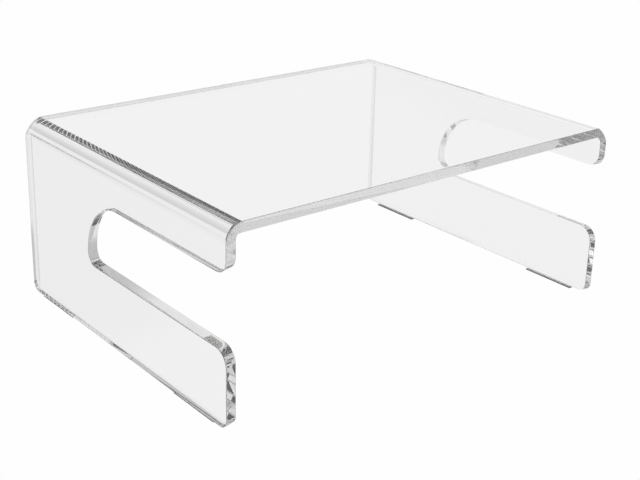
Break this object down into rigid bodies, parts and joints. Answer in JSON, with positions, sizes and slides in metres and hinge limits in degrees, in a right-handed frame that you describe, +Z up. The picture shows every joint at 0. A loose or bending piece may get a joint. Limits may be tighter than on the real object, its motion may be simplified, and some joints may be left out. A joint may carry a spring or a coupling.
{
  "type": "monitor riser stand",
  "caption": "Clear acrylic riser bent from one sheet: a flat deck on side panels with front-opening slots, standing on thin grip strips.",
  "frame": {"origin": "on the desk, at the middle of the stand's footprint: the underside of the grip strips", "axes": "+X to the right along the stand's width, +Y to the back, +Z up; the slots open towards -Y, the user's side"},
  "size_m": [0.38, 0.283, 0.15],
  "materials": {
    "clear_acrylic": "clear, glossy faces and polished edges",
    "grip_foam": "matt, fine closed-cell foam"
  },
  "bodies": {
    "root": {"riser_sheet": "clear_acrylic", "grip_strip_front_left": "grip_foam", "grip_strip_front_right": "grip_foam", "grip_strip_rear_left": "grip_foam", "grip_strip_rear_right": "grip_foam"}
  },
  "joints": []
}
